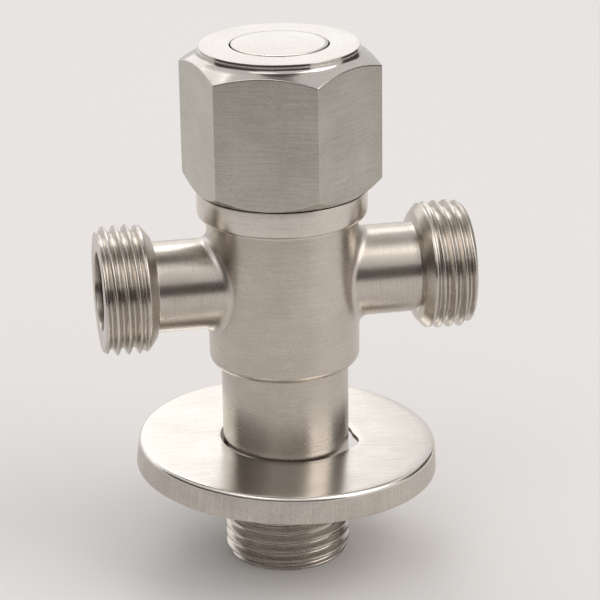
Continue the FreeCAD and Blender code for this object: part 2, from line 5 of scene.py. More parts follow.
import bmesh
import bpy
import numpy as np
from mathutils import Matrix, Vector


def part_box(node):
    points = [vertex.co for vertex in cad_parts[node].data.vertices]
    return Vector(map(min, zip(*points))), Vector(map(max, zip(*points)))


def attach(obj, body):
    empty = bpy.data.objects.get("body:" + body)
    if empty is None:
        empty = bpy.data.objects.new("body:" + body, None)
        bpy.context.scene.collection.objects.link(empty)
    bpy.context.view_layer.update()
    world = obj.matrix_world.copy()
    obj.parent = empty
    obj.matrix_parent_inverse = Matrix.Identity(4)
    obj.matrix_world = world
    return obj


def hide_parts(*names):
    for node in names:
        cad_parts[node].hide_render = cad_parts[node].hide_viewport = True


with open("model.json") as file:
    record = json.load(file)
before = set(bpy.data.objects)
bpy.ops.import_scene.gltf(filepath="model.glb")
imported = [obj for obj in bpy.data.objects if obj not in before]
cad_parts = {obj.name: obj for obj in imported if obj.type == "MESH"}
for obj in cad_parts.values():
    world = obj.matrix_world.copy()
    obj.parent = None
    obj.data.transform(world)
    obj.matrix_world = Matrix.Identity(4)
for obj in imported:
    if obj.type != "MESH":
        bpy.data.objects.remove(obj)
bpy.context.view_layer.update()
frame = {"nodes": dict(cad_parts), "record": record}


# The studio: a pale table in a light tent, seen a little from above through a long lens. Soft boxes
# stand above, behind and to the right. Dark cloths low in front and overhead show only in the metal,
# as the dark bands that give round steel its shape. Lengths are in millimetres, angles in degrees.
MM = 0.001
CAMERA_TURN = -11.05
CAMERA_TILT = 21.16
CAMERA_ROLL = -0.84
CAMERA_DISTANCE = 385.6
LENS = 141.9
SENSOR_WIDTH = 36
TARGET_RIGHT = 2.65
TARGET_HEIGHT = 44.3


def srgb(code):
    """Linear colour of a hex code: each channel through the sRGB curve."""
    channels = [int(code[i : i + 2], 16) / 255 for i in (1, 3, 5)]
    return [c / 12.92 if c <= 0.04045 else ((c + 0.055) / 1.055) ** 2.4 for c in channels] + [1.0]


def view_axes(turn, tilt, roll=0.0):
    """Right, up and back directions of a camera: back points from the target to the camera."""
    turn, tilt, roll = (math.radians(a) for a in (turn, tilt, roll))
    back = np.array([math.sin(turn) * math.cos(tilt), -math.cos(turn) * math.cos(tilt), math.sin(tilt)])
    level = np.array([math.cos(turn), math.sin(turn), 0.0])
    upright = np.cross(back, level)
    right = math.cos(roll) * level + math.sin(roll) * upright
    return right, np.cross(back, right), back


def pose_matrix(position, axes):
    """Matrix with the given axes as columns and a position in millimetres."""
    matrix = np.eye(4)
    matrix[:3, :3] = np.stack(axes, axis=1)
    matrix[:3, 3] = np.asarray(position) * MM
    return Matrix(matrix.tolist())


camera = bpy.data.objects.new("camera", bpy.data.cameras.new("camera"))
bpy.context.scene.collection.objects.link(camera)
axes = view_axes(CAMERA_TURN, CAMERA_TILT, CAMERA_ROLL)
level_right = view_axes(CAMERA_TURN, CAMERA_TILT)[0]
target = np.array([0.0, 0.0, TARGET_HEIGHT]) + TARGET_RIGHT * level_right
camera.matrix_world = pose_matrix(target + CAMERA_DISTANCE * axes[2], axes)
camera.data.lens = LENS
camera.data.sensor_width = SENSOR_WIDTH
camera.data.clip_start = 0.01
bpy.context.scene.camera = camera
bpy.context.scene.view_settings.view_transform = "Standard"


def add_node(tree, kind, inputs=(), **settings):
    """Add a shader node: settings are its properties, inputs its values or the sockets linked to it."""
    new = tree.nodes.new("ShaderNode" + kind)
    for key, value in settings.items():
        setattr(new, key, value)
    for socket, value in dict(inputs).items():
        if isinstance(value, bpy.types.NodeSocket):
            tree.links.new(value, new.inputs[socket])
        else:
            new.inputs[socket].default_value = value
    return new


def new_material(name):
    """An empty node material and its surface shader."""
    material = bpy.data.materials.new(name)
    material.use_nodes = True
    tree = material.node_tree
    return material, tree, tree.nodes["Principled BSDF"]


LIGHT_DISTANCE = 900
LIGHT_AIM = (0, 0, 45)


def soft_box(name, turn, tilt, width, height, power, colour="#FFFFFF"):
    """Area light that faces the valve from a direction given as for the camera; power in watts."""
    data = bpy.data.lights.new(name, "AREA")
    data.shape = "RECTANGLE"
    data.size = width * MM
    data.size_y = height * MM
    data.energy = power
    data.color = srgb(colour)[:3]
    light = bpy.data.objects.new(name, data)
    bpy.context.scene.collection.objects.link(light)
    axes = view_axes(turn, tilt)
    light.matrix_world = pose_matrix(np.array(LIGHT_AIM) + LIGHT_DISTANCE * axes[2], axes)
    light.visible_camera = False
    return light


def grid_faces(rows, columns):
    """Four-cornered faces between neighbouring points of a grid, as numbers of its points row by row."""
    index = np.arange(rows * columns).reshape(rows, columns)
    corners = [index[:-1, :-1], index[:-1, 1:], index[1:, 1:], index[1:, :-1]]
    return np.stack(corners, -1).reshape(-1, 4)


def flag(name, points, code):
    """Dark cloth on a grid of points in millimetres, which only the shine of the metal can see."""
    mesh = bpy.data.meshes.new(name)
    faces = grid_faces(*points.shape[:2])
    mesh.from_pydata((points.reshape(-1, 3) * MM).tolist(), [], faces.tolist())
    cloth = bpy.data.objects.new(name, mesh)
    bpy.context.scene.collection.objects.link(cloth)
    material, _, surface = new_material(name + " cloth")
    surface.inputs["Base Color"].default_value = srgb(code)
    surface.inputs["Roughness"].default_value = 0.9
    mesh.materials.append(material)
    cloth.visible_camera = cloth.visible_diffuse = cloth.visible_shadow = False
    return cloth


STRIP_POINTS = 25


def strip(first, last, inner, low, outer, high):
    """Part of a cone round the upright axis between two camera turns, from one radius and height to
    another: (r sin turn, -r cos turn, height)."""
    turns = np.radians(np.linspace(first, last, STRIP_POINTS))
    radii, heights = np.array([[inner], [outer]]), np.array([[low], [high]])
    return np.stack(np.broadcast_arrays(radii * np.sin(turns), -radii * np.cos(turns), heights), -1)


world = bpy.data.worlds.new("room")
world.use_nodes = True
world.node_tree.nodes["Background"].inputs["Color"].default_value = srgb("#F4F2F0")
world.node_tree.nodes["Background"].inputs["Strength"].default_value = 0.86
bpy.context.scene.world = world
soft_box("key_right", 58, 44, 600, 760, 2.6, "#FFF9F4")
soft_box("fill_left", -42, 56, 420, 340, 0.5)
soft_box("back_top", 182, 48, 520, 360, 1.3)
soft_box("back_low", 200, 22, 1200, 430, 0.93).visible_diffuse = False
CLOTH_RADIUS = 420
OVERHEAD_HEIGHT = 520
for name, first, last, height, code in (
    ("opening_left", -112, -42, 300, "#4B4641"),
    ("opening_front", -42, 32, 225, "#3E3A36"),
    ("opening_right", 84, 130, 240, "#4A4541"),
):
    flag(name, strip(first, last, CLOTH_RADIUS, 1, CLOTH_RADIUS, height), code)
flag("overhead", strip(0, 360, 2, OVERHEAD_HEIGHT, 110, OVERHEAD_HEIGHT), "#5A5550")

TABLE_HALF = 3000
corners = [(x * TABLE_HALF * MM, y * TABLE_HALF * MM, 0) for x, y in ((-1, -1), (1, -1), (1, 1), (-1, 1))]
floor_mesh = bpy.data.meshes.new("table")
floor_mesh.from_pydata(corners, [], [(0, 1, 2, 3)])
floor = bpy.data.objects.new("table", floor_mesh)
bpy.context.scene.collection.objects.link(floor)
# Uncoated white card: its pressed fibres scatter light evenly, so the eye sees no shine and soft shadows.
paper, _, paper_surface = new_material("matt white table card")
paper_surface.inputs["Base Color"].default_value = srgb("#DCDAD9")
paper_surface.inputs["Roughness"].default_value = 0.8
floor_mesh.materials.append(paper)


# Valve body: 304 stainless steel, the barrel turned from bar and the two stubs welded on and blended.
# Three male G 1/2 threads of 1.814 mm pitch are cut on it, and the bores meet in the barrel's chamber.
THREAD_RADIUS = 20.955 / 2
THREAD_PITCH = 25.4 / 14
THREAD_DEPTH = 0.6403 * THREAD_PITCH
THREAD_BLANK = 0.7
THREAD_CHAMFER = 1.15
THREAD_FACE_RADIUS = 9.75
THREAD_SHARPNESS = 1.25
THREAD_RUN_OUT = 0.6
THREAD_ROWS = 12
CREST_BLEND = 0.1
INLET_THREAD = 14.0
NECK_RADIUS = 10.42
NECK_GROOVE = 0.18
BARREL_RADIUS = 12.3
BARREL_BOTTOM = 34.4
COLLAR_BOTTOM = 59.5
COLLAR_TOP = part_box("valve_body")[1].z / MM
COLLAR_RADIUS = 13.75
INLET_BORE = 7.0
SEAT_HEIGHT = 38.0
CHAMBER_RADIUS = 9.1
HOUSING_THREAD_BOTTOM = 55.5
HOUSING_THREAD_RADIUS = 10.05
OUTLET_HEIGHT = 48.45
OUTLET_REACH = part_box("valve_body")[1].x / MM
STUB_RADIUS = 7.35
OUTLET_BORE = 6.4
ROOT_FILLET = 1.5
WALL_LOW = BARREL_BOTTOM + 1.8
WALL_HIGH = COLLAR_BOTTOM - 0.5
FACE_WIDTH = 1.2
EDGE_STEPS = 6
HALF_TURN_STEPS = 72
FILLET_STEPS = 8
WALL_STEPS = 12
WALL_CROWDING = 1.3


def rounded(corners, steps=5):
    """Path through (across, up, radius) corners, each a circular arc tangent to its two sides."""
    corners = np.array(corners, float)
    path = [corners[0, :2]]
    for before, here, after in zip(corners[:-2], corners[1:-1], corners[2:]):
        point, radius = here[:2], here[2]
        if radius == 0:
            path.append(point)
            continue
        to_before = (before[:2] - point) / np.linalg.norm(before[:2] - point)
        to_after = (after[:2] - point) / np.linalg.norm(after[:2] - point)
        half = math.acos(np.clip(to_before @ to_after, -1, 1)) / 2
        bisector = (to_before + to_after) / np.linalg.norm(to_before + to_after)
        centre = point + bisector * radius / math.sin(half)
        start = point + to_before * radius / math.tan(half) - centre
        end = point + to_after * radius / math.tan(half) - centre
        sweep = math.atan2(start[0] * end[1] - start[1] * end[0], start @ end)
        for part in np.linspace(0, sweep, steps + 1):
            turn = np.array([[math.cos(part), -math.sin(part)], [math.sin(part), math.cos(part)]])
            path.append(centre + turn @ start)
    path.append(corners[-1, :2])
    return np.array(path)


def subdivided(path, longest):
    """The same path with its long sides cut into equal lengths no longer than longest."""
    pieces = [path[:1]]
    for start, end in zip(path[:-1], path[1:]):
        count = max(1, math.ceil(np.linalg.norm(end - start) / longest))
        pieces.append(start + (end - start) * np.linspace(0, 1, count + 1)[1:, None])
    return np.concatenate(pieces)


def lengths(path):
    """Distance run along a path at each of its points."""
    return np.concatenate([[0], np.cumsum(np.linalg.norm(np.diff(path, axis=0), axis=1))])


def round_z(path, angle):
    """Profile of (radius, height) carried round the upright axis: (r cos a, r sin a, z)."""
    radius, height = path[:, :1], path[:, 1:]
    return np.stack([radius * np.cos(angle), radius * np.sin(angle), height + 0 * angle], axis=-1)


def round_x(along, radius, angle):
    """Profile carried round the outlets' axis: (x, r cos a, outlet height + r sin a)."""
    across, up = radius * np.cos(angle), OUTLET_HEIGHT + radius * np.sin(angle)
    return np.stack(np.broadcast_arrays(along, across, up), axis=-1)


def brush_map(points, around, along):
    """Two lengths in millimetres for each point: round the brushing direction and across it."""
    shape = points.shape[:2]
    return np.stack([np.broadcast_to(around, shape), np.broadcast_to(along, shape)], axis=-1)


def crossing(radius, hole, fillet, low, high):
    """Wall of an upright cylinder with a round hole along +X, and the rolling-ball fillet at its rim.

    The ball of radius f rolls in the corner, so its centre is at hole + f from the hole's axis and at
    radius + f from the cylinder's axis. The wall is ruled from the ball's track to the edge of the half
    cylinder, in the flat of (azimuth times radius, height), so every point lies on the cylinder.
    """
    wide, down, up = math.pi * radius / 2, low - OUTLET_HEIGHT, high - OUTLET_HEIGHT
    across = np.linspace(wide, -wide, HALF_TURN_STEPS + 1)
    side = np.linspace(0, up, EDGE_STEPS + 1)
    lower = np.linspace(0, down, EDGE_STEPS + 1)
    edge = np.concatenate(
        [
            np.stack([wide + 0 * side, side], 1)[:-1],
            np.stack([across, up + 0 * across], 1)[:-1],
            np.stack([-wide + 0 * side, side[::-1]], 1)[:-1],
            np.stack([-wide + 0 * lower, lower], 1)[:-1],
            np.stack([across[::-1], down + 0 * across], 1)[:-1],
            np.stack([wide + 0 * lower, lower[::-1]], 1),
        ]
    )
    angle = np.unwrap(np.arctan2(edge[:, 1], edge[:, 0]))
    track = hole + fillet
    centre_y, centre_z = track * np.cos(angle), track * np.sin(angle)
    centre_x = np.sqrt((radius + fillet) ** 2 - centre_y**2)
    inner = np.stack([np.arctan2(centre_y, centre_x) * radius, centre_z], 1)
    share = np.linspace(0, 1, WALL_STEPS + 1)[:, None, None] ** WALL_CROWDING
    flat = inner + (edge - inner) * share
    azimuth, height = flat[..., 0] / radius, OUTLET_HEIGHT + flat[..., 1]
    wall = np.stack([radius * np.cos(azimuth), radius * np.sin(azimuth), height], -1)
    to_stub = np.stack([0 * angle, -np.cos(angle), -np.sin(angle)], -1)
    to_wall = -np.stack([centre_x, centre_y, 0 * angle], -1) / (radius + fillet)
    open_angle = np.arccos(np.clip((to_stub * to_wall).sum(-1), -1, 1))[:, None]
    part = np.linspace(0, 1, FILLET_STEPS + 1)[:, None, None]
    slerp = np.sin((1 - part) * open_angle) * to_stub + np.sin(part * open_angle) * to_wall
    slerp /= np.sin(open_angle)
    centre = np.stack([centre_x, centre_y, OUTLET_HEIGHT + centre_z], -1)
    return angle, centre_x, centre + fillet * slerp, wall, flat


def smooth(share):
    """Smooth step between 0 and 1: 3 t^2 - 2 t^3."""
    return share**2 * (3 - 2 * share)


def thread_radius(from_end, lead, length, blank):
    """Radius of a male thread whose crest lies at pitch x lead from the end: a narrowed cosine ridge,
    held under the end's chamfer cone by a soft minimum, (a + b - sqrt((a - b)^2 + blend^2)) / 2, and
    faded out to the blank's radius over the last part of a pitch by a smooth step."""
    wave = 0.5 + 0.5 * np.cos(2 * math.pi * (from_end / THREAD_PITCH - lead))
    ridge = THREAD_RADIUS - THREAD_DEPTH * (1 - wave**THREAD_SHARPNESS)
    cone = THREAD_FACE_RADIUS + from_end * (THREAD_RADIUS - THREAD_FACE_RADIUS) / THREAD_CHAMFER
    chamfered = 0.5 * (ridge + cone - np.sqrt((ridge - cone) ** 2 + CREST_BLEND**2))
    run_out = np.clip((length - from_end) / (THREAD_RUN_OUT * THREAD_PITCH), 0, 1)
    return blank + (chamfered - blank) * smooth(run_out)


def thread_grid(length, lead, blank):
    """Distance from the end and radius on a grid whose rows follow the helix: row + pitch x lead, held
    between the thread's two ends."""
    low, high = -math.ceil(lead.max()), math.ceil(length / THREAD_PITCH - lead.min())
    rows = np.arange(low * THREAD_ROWS, high * THREAD_ROWS + 1)[:, None] / THREAD_ROWS
    from_end = np.clip((rows + lead) * THREAD_PITCH, 0, length)
    return from_end, thread_radius(from_end, lead, length, blank)


WELD_DISTANCE = 0.002
SLIVER_LENGTH = 0.0001


def make_piece(name, patches, materials):
    """One welded mesh from grids of points in millimetres. Each patch is (points, brush map, material
    number); neighbouring points of a grid make its faces, and equal points are joined."""
    points, maps, faces, numbers, start = [], [], [], [], 0
    for grid, chart, number in patches:
        rows, columns = grid.shape[:2]
        quads = start + grid_faces(rows, columns)
        points.append(grid.reshape(-1, 3))
        maps.append(chart.reshape(-1, 2))
        faces.append(quads)
        numbers.append(np.full(len(quads), number))
        start += rows * columns
    points, maps, faces, numbers = (np.concatenate(a) for a in (points, maps, faces, numbers))
    mesh = bpy.data.meshes.new(name)
    mesh.vertices.add(len(points))
    mesh.vertices.foreach_set("co", (points * MM).astype(np.float32).ravel())
    mesh.loops.add(faces.size)
    mesh.loops.foreach_set("vertex_index", faces.ravel().astype(np.int32))
    mesh.polygons.add(len(faces))
    mesh.polygons.foreach_set("loop_start", np.arange(0, faces.size, 4, dtype=np.int32))
    mesh.polygons.foreach_set("material_index", numbers.astype(np.int32))
    mesh.polygons.foreach_set("use_smooth", np.ones(len(faces), bool))
    mesh.update(calc_edges=True)
    mesh.uv_layers.new(name="brush").data.foreach_set("uv", maps[faces.ravel()].astype(np.float32).ravel())
    weld = bmesh.new()
    weld.from_mesh(mesh)
    bmesh.ops.remove_doubles(weld, verts=weld.verts, dist=WELD_DISTANCE * MM)
    bmesh.ops.dissolve_degenerate(weld, edges=weld.edges, dist=SLIVER_LENGTH * MM)
    bmesh.ops.recalc_face_normals(weld, faces=weld.faces)
    weld.to_mesh(mesh)
    open_edges = sum(not edge.is_manifold for edge in weld.edges)
    weld.free()
    print(f"{name}: {len(mesh.polygons)} faces, {open_edges} open edges")
    for material in materials:
        mesh.materials.append(material)
    piece = bpy.data.objects.new(name, mesh)
    bpy.context.scene.collection.objects.link(piece)
    return piece


# Steel is brushed or turned with grit that leaves lines some 0.03 mm wide. That is too fine to show, so
# the lines are drawn 0.2 to 0.3 mm wide. The grain over them stands for the broken ends of the lines.
LINE_STRETCH = 0.03
CLOUD_SIZE = 7.0
SHADE_RANGE = {"From Min": 1.1, "From Max": 1.9}
POLISH_SPREAD = 0.15
SCRATCH_SIZE = (0.06, 3.0, 1.0)
SCRATCH_CUT = {"From Min": 0.62, "From Max": 0.72, "To Max": -1.5}


def steel(name, dark, light, roughness, anisotropic, line, relief, grain=0.3, scratch=0.0, chart="UV"):
    """Bare steel, from lengths in millimetres: fine lines of one spacing along the brushing, a grain over
    them, faint clouds where the polish changes, and thin scratches at a slant given in radians; its shine
    is drawn out across the lines."""
    material, tree, surface = new_material(name)
    where = add_node(tree, "TexCoord")
    unit = 1 / MM if chart == "Object" else 1.0
    run = (LINE_STRETCH * unit / line, unit / line, unit / line)
    along = add_node(tree, "Mapping", {"Vector": where.outputs[chart], "Scale": run})
    lines = add_node(tree, "TexNoise", {"Vector": along.outputs["Vector"], "Scale": 1.0, "Detail": 2.0})
    place = where.outputs["Object"]
    fine = add_node(tree, "TexNoise", {"Vector": place, "Scale": 1 / (grain * MM), "Detail": 2.0})
    cloud = add_node(tree, "TexNoise", {"Vector": place, "Scale": 1 / (CLOUD_SIZE * MM), "Detail": 5.0})
    mixed = add_node(tree, "Math", {0: lines.outputs["Fac"], 1: fine.outputs["Fac"]}, operation="ADD")
    total = add_node(tree, "Math", {0: mixed.outputs["Value"], 1: cloud.outputs["Fac"]}, operation="ADD")
    shade = add_node(tree, "MapRange", {"Value": total.outputs["Value"], **SHADE_RANGE})
    tones = {"Factor": shade.outputs["Result"], "A": srgb(dark), "B": srgb(light)}
    colour = add_node(tree, "Mix", tones, data_type="RGBA")
    polish = {"To Min": roughness * (1 + POLISH_SPREAD), "To Max": roughness * (1 - POLISH_SPREAD)}
    rough = add_node(tree, "MapRange", {"Value": total.outputs["Value"], **SHADE_RANGE, **polish})
    height = mixed.outputs["Value"]
    if scratch:
        size = tuple(length * unit for length in SCRATCH_SIZE)
        turn = {"Vector": where.outputs[chart], "Rotation": (0, 0, scratch), "Scale": size}
        slant = add_node(tree, "Mapping", turn)
        nick = add_node(tree, "TexNoise", {"Vector": slant.outputs["Vector"], "Scale": 1.0, "Detail": 1.0})
        cut = add_node(tree, "MapRange", {"Value": nick.outputs["Fac"], **SCRATCH_CUT})
        scored = add_node(tree, "Math", {0: height, 1: cut.outputs["Result"]}, operation="ADD")
        height = scored.outputs["Value"]
    bump = add_node(tree, "Bump", {"Height": height, "Distance": relief * MM})
    tree.links.new(colour.outputs["Result"], surface.inputs["Base Color"])
    tree.links.new(rough.outputs["Result"], surface.inputs["Roughness"])
    tree.links.new(bump.outputs["Normal"], surface.inputs["Normal"])
    surface.inputs["Metallic"].default_value = 1.0
    surface.inputs["Anisotropic"].default_value = anisotropic
    surface.inputs["Anisotropic Rotation"].default_value = 0.25
    if chart == "UV" and anisotropic:
        direction = add_node(tree, "Tangent", direction_type="UV_MAP", uv_map="brush")
        tree.links.new(direction.outputs["Tangent"], surface.inputs["Tangent"])
    return material


# Turned in a lathe and rubbed with a fine pad: tool lines run round the barrel and the stubs, so the eye
# sees soft bands of light along them and a fine grain.
turned_steel = steel(
    "satin turned stainless steel",
    "#BAB2A9",
    "#CBC4BC",
    roughness=0.29,
    anisotropic=0.45,
    line=0.2,
    relief=0.001,
    grain=0.22,
)
# Cut with a die: crests are rubbed bright and roots stay dull, which gives the eye a bright line a turn.
thread_steel = steel(
    "cut stainless thread",
    "#B4ACA4",
    "#D6D0C9",
    roughness=0.26,
    anisotropic=0.3,
    line=0.2,
    relief=0.006,
    grain=0.2,
)
# Weld bead ground smooth by hand: a little paler and duller than the turned steel on either side of it.
weld_steel = steel(
    "blended weld fillet",
    "#BDB5AD",
    "#D2CCC5",
    roughness=0.32,
    anisotropic=0.2,
    line=0.2,
    relief=0.001,
    grain=0.22,
)
# A lighter copy of the turned steel, a little smoother and finer. Its lighter colour is painted light, so
# the collar shows a shade brighter than the barrel below it.
collar_steel_painted_light = steel(
    "turned stainless collar with painted light",
    "#C9C2BA",
    "#D9D3CC",
    roughness=0.25,
    anisotropic=0.4,
    line=0.2,
    relief=0.0005,
    grain=0.22,
)
# Drilled and left unpolished: rough, with coarse rings. Its dark colour is painted shade, so the eye reads
# the bore as deep.
bore_steel_painted_shade = steel(
    "drilled stainless bore with painted shade",
    "#514A44",
    "#746C64",
    roughness=0.42,
    anisotropic=0.3,
    line=0.4,
    relief=0.006,
)

# Materials of the body by number, as its patches name them.
TURNED, THREAD, BORE, WELD, COLLAR = range(5)
# The bore finish is painted shade, and the collar finish is painted light.
body_finish = [turned_steel, thread_steel, bore_steel_painted_shade, weld_steel, collar_steel_painted_light]
angle, start_x, fillet_grid, wall_grid, wall_flat = crossing(
    BARREL_RADIUS, STUB_RADIUS, ROOT_FILLET, WALL_LOW, WALL_HIGH
)
bore_angle, bore_x, _, chamber_grid, chamber_flat = crossing(
    CHAMBER_RADIUS, OUTLET_BORE, 0.0, SEAT_HEIGHT, HOUSING_THREAD_BOTTOM
)
share = np.linspace(0, 1, 5)[:, None]
bore_share = np.linspace(0, 1, 13)[:, None]
# Lengths that the brush map gives to strips whose real length varies round them.
FILLET_RUN, STUB_RUN, FACE_RUN, BORE_RUN = 2.4, 4.0, 2.0, 20.0
fillet_share = np.linspace(0, 1, FILLET_STEPS + 1)[:, None]
face_path = rounded(
    [
        (OUTLET_BORE + 1.5, OUTLET_REACH, 0),
        (OUTLET_BORE, OUTLET_REACH, 0.22),
        (OUTLET_BORE, OUTLET_REACH - 1, 0),
    ]
)
# Shoulders behind the threads, by side, as (radius, distance from the middle, rounding), and where one
# crest lies along X, in front of the valve: the two heads were turned and cut separately.
SHOULDERS = {
    1: [(STUB_RADIUS, 21.45, 0.25), (8.9, 21.8, 1.0), (10.25, 23.0, 0.3), (10.25, 23.3, 0)],
    -1: [(STUB_RADIUS, 21.35, 0.2), (8.35, 21.5, 0.5), (10.2, 22.95, 0.4), (10.2, 23.15, 0)],
}
CREST_PLACE = {1: 23.63, -1: -29.2}
STUB_START = 16.0
body_patches = []
for side, shoulder in SHOULDERS.items():
    stub_path = subdivided(rounded([(STUB_RADIUS, STUB_START, 0)] + shoulder), 0.8)
    blank, shoulder_end = stub_path[-1]
    length = OUTLET_REACH - shoulder_end
    lead = (OUTLET_REACH - side * CREST_PLACE[side]) / THREAD_PITCH % 1 - side * angle / (2 * math.pi)
    thread_end, thread_rim = thread_grid(length, lead, blank)
    rim = thread_radius(0 * lead, lead, length, blank)
    face_turn = angle + (bore_angle - angle) * np.linspace(0, 1, len(face_path))[:, None]
    outlet_patches = [
        (fillet_grid, brush_map(fillet_grid, angle * STUB_RADIUS, fillet_share * FILLET_RUN), WELD),
        (wall_grid, wall_flat, TURNED),
        (
            round_x(start_x + (STUB_START - start_x) * share, STUB_RADIUS, angle),
            brush_map(share * angle, angle * STUB_RADIUS, share * STUB_RUN),
            TURNED,
        ),
        (
            round_x(stub_path[:, 1:], stub_path[:, :1], angle),
            brush_map(stub_path[:, :1] * angle, angle * STUB_RADIUS, lengths(stub_path)[:, None]),
            TURNED,
        ),
        (
            round_x(OUTLET_REACH - thread_end, thread_rim, angle),
            brush_map(thread_end, angle * THREAD_RADIUS, thread_end),
            THREAD,
        ),
        (
            round_x(OUTLET_REACH, rim + (face_path[0, 0] - rim) * share, angle),
            brush_map(share * angle, angle * OUTLET_BORE, share * FACE_RUN),
            TURNED,
        ),
        (
            round_x(face_path[:, 1:], face_path[:, :1], face_turn),
            brush_map(face_path[:, :1] * angle, angle * OUTLET_BORE, lengths(face_path)[:, None]),
            TURNED,
        ),
        # The outlet's bore and the chamber wall take the painted shade.
        (
            round_x(face_path[-1, 1] + (bore_x - face_path[-1, 1]) * bore_share, OUTLET_BORE, bore_angle),
            brush_map(bore_share * angle, bore_angle * OUTLET_BORE, bore_share * BORE_RUN),
            BORE,
        ),
        (chamber_grid, chamber_flat, BORE),
    ]
    body_patches += [(grid * (side, 1, 1), chart, number) for grid, chart, number in outlet_patches]

around = np.linspace(-math.pi / 2, 3 * math.pi / 2, 2 * HALF_TURN_STEPS + 1)
around_turn = (around - around[0]) / (2 * math.pi)
inlet_blank = THREAD_RADIUS - THREAD_BLANK
inlet_end, inlet_rim = thread_grid(INLET_THREAD, around_turn, inlet_blank)
inlet_grid = np.stack([inlet_rim * np.cos(around), inlet_rim * np.sin(around), inlet_end], -1)
foot_rim = thread_radius(0 * around_turn, around_turn, INLET_THREAD, inlet_blank)
foot_radius = foot_rim + (INLET_BORE + FACE_WIDTH - foot_rim) * share
foot_grid = np.stack([foot_radius * np.cos(around), foot_radius * np.sin(around), 0 * foot_radius], -1)
neck_path = rounded(
    [
        (inlet_blank, INLET_THREAD, 0),
        (inlet_blank, INLET_THREAD + 1.0, 0.2),
        (NECK_RADIUS, INLET_THREAD + 1.4, 0.3),
        (NECK_RADIUS, BARREL_BOTTOM - 0.35, 0.12),
        (NECK_RADIUS - NECK_GROOVE, BARREL_BOTTOM - 0.2, 0.1),
        (NECK_RADIUS - NECK_GROOVE, BARREL_BOTTOM, 0.1),
        (BARREL_RADIUS, BARREL_BOTTOM, 1.4),
        (BARREL_RADIUS, WALL_LOW, 0),
    ],
    6,
)
collar_path = rounded(
    [
        (BARREL_RADIUS, WALL_HIGH, 0),
        (BARREL_RADIUS, COLLAR_BOTTOM, 0.3),
        (COLLAR_RADIUS, COLLAR_BOTTOM, 0.8),
        (COLLAR_RADIUS, COLLAR_TOP, 0.1),
        (HOUSING_THREAD_RADIUS, COLLAR_TOP, 0.3),
        (HOUSING_THREAD_RADIUS, HOUSING_THREAD_BOTTOM, 0),
        (CHAMBER_RADIUS, HOUSING_THREAD_BOTTOM, 0),
    ],
    6,
)
inlet_path = rounded(
    [
        (CHAMBER_RADIUS, SEAT_HEIGHT, 0),
        (INLET_BORE, SEAT_HEIGHT, 0.2),
        (INLET_BORE, 0, 0.3),
        (INLET_BORE + FACE_WIDTH, 0, 0),
    ]
)
body_patches.append((inlet_grid, brush_map(inlet_end, around * THREAD_RADIUS, inlet_end), THREAD))
body_patches.append((foot_grid, brush_map(foot_radius, around * INLET_BORE, foot_radius), TURNED))
# The collar takes the painted light, and the inlet's bore takes the painted shade.
for path, number in ((neck_path, TURNED), (collar_path, COLLAR), (inlet_path, BORE)):
    path = subdivided(path, 1.5)
    chart = brush_map(path[:, :1] * around, around * BARREL_RADIUS, lengths(path)[:, None])
    body_patches.append((round_z(path, around), chart, number))
body = make_piece("turned_body", body_patches, body_finish)
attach(body, "valve")
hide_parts("valve_body")


# Wall flange: a disc of 0.8 mm stainless sheet pressed into a shallow dish, loose on the neck and held
# by three tongues bent down from its hole. It leans a little, as a loose cover does. Its hole has one
# deep notch and two shallow ones, where the tongues were cut free.
FLANGE_HEIGHT = 4.46
FLANGE_TOP_RADIUS = 24.6
FLANGE_FOOT_RADIUS = 25.0
FLANGE_SHEET = 0.8
FLANGE_HOLE = 11.05
FLANGE_PLATE = 16.0
FLANGE_LIP = 0.12
FLANGE_REST = 15.8
FLANGE_LEAN = 2.3
NOTCH_RADIUS = 12.0
TONGUE_TIP = 10.75
TONGUE_DROP = 2.0
TONGUE_ANGLE = 35.0
TONGUE_START = -90.0
NOTCH_START = 40.0
NOTCH_DEEPEST = 70.0
NOTCH_END = 88.0
NOTCH_SHALLOW = 0.25


def lean(points):
    """Turn a flange grid about Y by the lean and lift it to its resting height."""
    cosine, sine = math.cos(math.radians(FLANGE_LEAN)), math.sin(math.radians(FLANGE_LEAN))
    x, y, z = points[..., 0], points[..., 1], points[..., 2]
    return np.stack([x * cosine + z * sine, y, z * cosine - x * sine + FLANGE_REST], -1)


# Sheet brushed in short strokes before pressing: pale, with long faint lines and a few slanted scratches.
sheet_steel = steel(
    "brushed stainless sheet",
    "#D4CFC8",
    "#E8E4DE",
    roughness=0.23,
    anisotropic=0.0,
    line=0.25,
    relief=0.0006,
    grain=0.25,
    scratch=0.7,
    chart="Object",
)
# Drawn through the die: the skirt is duller than the top, with lines that run down it.
skirt_steel = steel(
    "pressed stainless skirt",
    "#B4ADA5",
    "#CEC8C0",
    roughness=0.3,
    anisotropic=0.4,
    line=0.3,
    relief=0.004,
)
